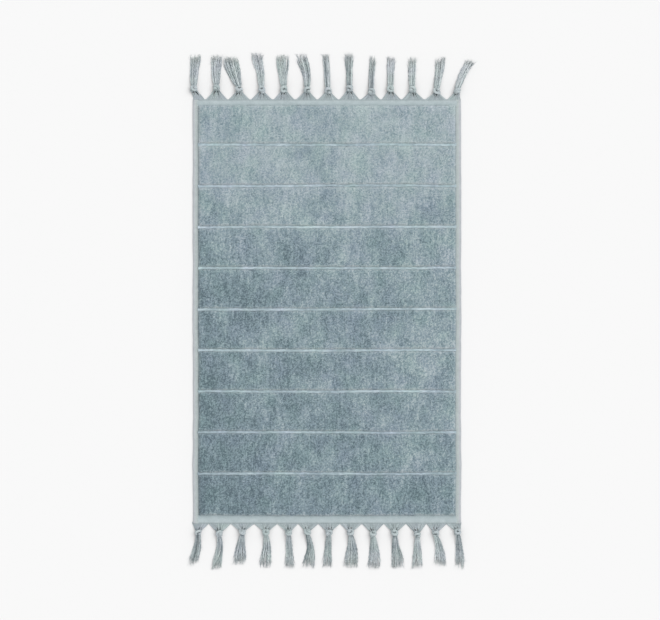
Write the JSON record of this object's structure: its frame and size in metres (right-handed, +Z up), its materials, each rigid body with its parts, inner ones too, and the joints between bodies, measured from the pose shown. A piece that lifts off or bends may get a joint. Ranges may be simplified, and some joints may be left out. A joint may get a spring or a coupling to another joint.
{
  "type": "bath mat",
  "caption": "Rectangular cotton bath mat: bands of cut pile between bare woven ribs, hemmed sides, flat woven ends and knotted tassels along both short edges.",
  "frame": {"origin": "on the mat's underside, at the middle of the cloth's length and width", "axes": "+Z up out of the pile, +Y towards the head end along the long side, +X across the mat"},
  "size_m": [0.532, 0.953, 0.01],
  "materials": {
    "ground_cloth": "flat woven cotton",
    "pile": "cut cotton pile, brushed matt",
    "hem": "folded and stitched cotton",
    "border": "flat woven cotton",
    "tassel": "loose twisted cotton yarn"
  },
  "bodies": {
    "band_1": {"ground_panel_1": "ground_cloth", "pile_band_1": "pile", "side_hems_1": "hem", "head_border": "border"},
    "band_2": {"ground_panel_2": "ground_cloth", "pile_band_2": "pile", "side_hems_2": "hem"},
    "band_3": {"ground_panel_3": "ground_cloth", "pile_band_3": "pile", "side_hems_3": "hem"},
    "band_4": {"ground_panel_4": "ground_cloth", "pile_band_4": "pile", "side_hems_4": "hem"},
    "band_5": {"ground_panel_5": "ground_cloth", "pile_band_5": "pile", "side_hems_5": "hem"},
    "band_6": {"ground_panel_6": "ground_cloth", "pile_band_6": "pile", "side_hems_6": "hem"},
    "band_7": {"ground_panel_7": "ground_cloth", "pile_band_7": "pile", "side_hems_7": "hem"},
    "band_8": {"ground_panel_8": "ground_cloth", "pile_band_8": "pile", "side_hems_8": "hem"},
    "band_9": {"ground_panel_9": "ground_cloth", "pile_band_9": "pile", "side_hems_9": "hem"},
    "band_10": {"ground_panel_10": "ground_cloth", "pile_band_10": "pile", "side_hems_10": "hem", "foot_border": "border"},
    "head_tassel_1": {"head_tassel_1": "tassel"},
    "head_tassel_2": {"head_tassel_2": "tassel"},
    "head_tassel_3": {"head_tassel_3": "tassel"},
    "head_tassel_4": {"head_tassel_4": "tassel"},
    "head_tassel_5": {"head_tassel_5": "tassel"},
    "head_tassel_6": {"head_tassel_6": "tassel"},
    "head_tassel_7": {"head_tassel_7": "tassel"},
    "head_tassel_8": {"head_tassel_8": "tassel"},
    "head_tassel_9": {"head_tassel_9": "tassel"},
    "head_tassel_10": {"head_tassel_10": "tassel"},
    "head_tassel_11": {"head_tassel_11": "tassel"},
    "head_tassel_12": {"head_tassel_12": "tassel"},
    "head_tassel_13": {"head_tassel_13": "tassel"},
    "foot_tassel_1": {"foot_tassel_1": "tassel"},
    "foot_tassel_2": {"foot_tassel_2": "tassel"},
    "foot_tassel_3": {"foot_tassel_3": "tassel"},
    "foot_tassel_4": {"foot_tassel_4": "tassel"},
    "foot_tassel_5": {"foot_tassel_5": "tassel"},
    "foot_tassel_6": {"foot_tassel_6": "tassel"},
    "foot_tassel_7": {"foot_tassel_7": "tassel"},
    "foot_tassel_8": {"foot_tassel_8": "tassel"},
    "foot_tassel_9": {"foot_tassel_9": "tassel"},
    "foot_tassel_10": {"foot_tassel_10": "tassel"},
    "foot_tassel_11": {"foot_tassel_11": "tassel"},
    "foot_tassel_12": {"foot_tassel_12": "tassel"},
    "foot_tassel_13": {"foot_tassel_13": "tassel"}
  },
  "joints": [
    {"name": "band_fold_1", "type": "hinge", "parent": "band_2", "child": "band_1", "pos_m": [0, 0.3101, -0.00015], "axis": [-1, 0, 0], "range_deg": [-30, 30]},
    {"name": "band_fold_2", "type": "hinge", "parent": "band_3", "child": "band_2", "pos_m": [0, 0.2337, -0.00015], "axis": [-1, 0, 0], "range_deg": [-30, 30]},
    {"name": "band_fold_3", "type": "hinge", "parent": "band_4", "child": "band_3", "pos_m": [0, 0.1573, -0.00015], "axis": [-1, 0, 0], "range_deg": [-30, 30]},
    {"name": "band_fold_4", "type": "hinge", "parent": "band_5", "child": "band_4", "pos_m": [0, 0.0809, -0.00015], "axis": [-1, 0, 0], "range_deg": [-30, 30]},
    {"name": "band_fold_5", "type": "hinge", "parent": "band_6", "child": "band_5", "pos_m": [0, 0.0045, -0.00015], "axis": [1, 0, 0], "range_deg": [-170, 35]},
    {"name": "band_fold_6", "type": "hinge", "parent": "band_6", "child": "band_7", "pos_m": [0, -0.0719, -0.00015], "axis": [1, 0, 0], "range_deg": [-30, 30]},
    {"name": "band_fold_7", "type": "hinge", "parent": "band_7", "child": "band_8", "pos_m": [0, -0.1483, -0.00015], "axis": [1, 0, 0], "range_deg": [-30, 30]},
    {"name": "band_fold_8", "type": "hinge", "parent": "band_8", "child": "band_9", "pos_m": [0, -0.2247, -0.00015], "axis": [1, 0, 0], "range_deg": [-30, 30]},
    {"name": "band_fold_9", "type": "hinge", "parent": "band_9", "child": "band_10", "pos_m": [0, -0.3011, -0.00015], "axis": [1, 0, 0], "range_deg": [-30, 30]},
    {"name": "head_tassel_1_flop", "type": "hinge", "parent": "band_1", "child": "head_tassel_1", "pos_m": [0, 0.3945, 0.001], "axis": [1, 0, 0], "range_deg": [-120, 110]},
    {"name": "head_tassel_2_flop", "type": "hinge", "parent": "band_1", "child": "head_tassel_2", "pos_m": [0, 0.3945, 0.001], "axis": [1, 0, 0], "range_deg": [-120, 110]},
    {"name": "head_tassel_3_flop", "type": "hinge", "parent": "band_1", "child": "head_tassel_3", "pos_m": [0, 0.3945, 0.001], "axis": [1, 0, 0], "range_deg": [-120, 110]},
    {"name": "head_tassel_4_flop", "type": "hinge", "parent": "band_1", "child": "head_tassel_4", "pos_m": [0, 0.3945, 0.001], "axis": [1, 0, 0], "range_deg": [-120, 110]},
    {"name": "head_tassel_5_flop", "type": "hinge", "parent": "band_1", "child": "head_tassel_5", "pos_m": [0, 0.3945, 0.001], "axis": [1, 0, 0], "range_deg": [-120, 110]},
    {"name": "head_tassel_6_flop", "type": "hinge", "parent": "band_1", "child": "head_tassel_6", "pos_m": [0, 0.3945, 0.001], "axis": [1, 0, 0], "range_deg": [-120, 110]},
    {"name": "head_tassel_7_flop", "type": "hinge", "parent": "band_1", "child": "head_tassel_7", "pos_m": [0, 0.3945, 0.001], "axis": [1, 0, 0], "range_deg": [-120, 110]},
    {"name": "head_tassel_8_flop", "type": "hinge", "parent": "band_1", "child": "head_tassel_8", "pos_m": [0, 0.3945, 0.001], "axis": [1, 0, 0], "range_deg": [-120, 110]},
    {"name": "head_tassel_9_flop", "type": "hinge", "parent": "band_1", "child": "head_tassel_9", "pos_m": [0, 0.3945, 0.001], "axis": [1, 0, 0], "range_deg": [-120, 110]},
    {"name": "head_tassel_10_flop", "type": "hinge", "parent": "band_1", "child": "head_tassel_10", "pos_m": [0, 0.3945, 0.001], "axis": [1, 0, 0], "range_deg": [-120, 110]},
    {"name": "head_tassel_11_flop", "type": "hinge", "parent": "band_1", "child": "head_tassel_11", "pos_m": [0, 0.3945, 0.001], "axis": [1, 0, 0], "range_deg": [-120, 110]},
    {"name": "head_tassel_12_flop", "type": "hinge", "parent": "band_1", "child": "head_tassel_12", "pos_m": [0, 0.3945, 0.001], "axis": [1, 0, 0], "range_deg": [-120, 110]},
    {"name": "head_tassel_13_flop", "type": "hinge", "parent": "band_1", "child": "head_tassel_13", "pos_m": [0, 0.3945, 0.001], "axis": [1, 0, 0], "range_deg": [-120, 110]},
    {"name": "foot_tassel_1_flop", "type": "hinge", "parent": "band_10", "child": "foot_tassel_1", "pos_m": [0, -0.3945, 0.001], "axis": [-1, 0, 0], "range_deg": [-120, 110]},
    {"name": "foot_tassel_2_flop", "type": "hinge", "parent": "band_10", "child": "foot_tassel_2", "pos_m": [0, -0.3945, 0.001], "axis": [-1, 0, 0], "range_deg": [-120, 110]},
    {"name": "foot_tassel_3_flop", "type": "hinge", "parent": "band_10", "child": "foot_tassel_3", "pos_m": [0, -0.3945, 0.001], "axis": [-1, 0, 0], "range_deg": [-120, 110]},
    {"name": "foot_tassel_4_flop", "type": "hinge", "parent": "band_10", "child": "foot_tassel_4", "pos_m": [0, -0.3945, 0.001], "axis": [-1, 0, 0], "range_deg": [-120, 110]},
    {"name": "foot_tassel_5_flop", "type": "hinge", "parent": "band_10", "child": "foot_tassel_5", "pos_m": [0, -0.3945, 0.001], "axis": [-1, 0, 0], "range_deg": [-120, 110]},
    {"name": "foot_tassel_6_flop", "type": "hinge", "parent": "band_10", "child": "foot_tassel_6", "pos_m": [0, -0.3945, 0.001], "axis": [-1, 0, 0], "range_deg": [-120, 110]},
    {"name": "foot_tassel_7_flop", "type": "hinge", "parent": "band_10", "child": "foot_tassel_7", "pos_m": [0, -0.3945, 0.001], "axis": [-1, 0, 0], "range_deg": [-120, 110]},
    {"name": "foot_tassel_8_flop", "type": "hinge", "parent": "band_10", "child": "foot_tassel_8", "pos_m": [0, -0.3945, 0.001], "axis": [-1, 0, 0], "range_deg": [-120, 110]},
    {"name": "foot_tassel_9_flop", "type": "hinge", "parent": "band_10", "child": "foot_tassel_9", "pos_m": [0, -0.3945, 0.001], "axis": [-1, 0, 0], "range_deg": [-120, 110]},
    {"name": "foot_tassel_10_flop", "type": "hinge", "parent": "band_10", "child": "foot_tassel_10", "pos_m": [0, -0.3945, 0.001], "axis": [-1, 0, 0], "range_deg": [-120, 110]},
    {"name": "foot_tassel_11_flop", "type": "hinge", "parent": "band_10", "child": "foot_tassel_11", "pos_m": [0, -0.3945, 0.001], "axis": [-1, 0, 0], "range_deg": [-120, 110]},
    {"name": "foot_tassel_12_flop", "type": "hinge", "parent": "band_10", "child": "foot_tassel_12", "pos_m": [0, -0.3945, 0.001], "axis": [-1, 0, 0], "range_deg": [-120, 110]},
    {"name": "foot_tassel_13_flop", "type": "hinge", "parent": "band_10", "child": "foot_tassel_13", "pos_m": [0, -0.3945, 0.001], "axis": [-1, 0, 0], "range_deg": [-120, 110]}
  ]
}
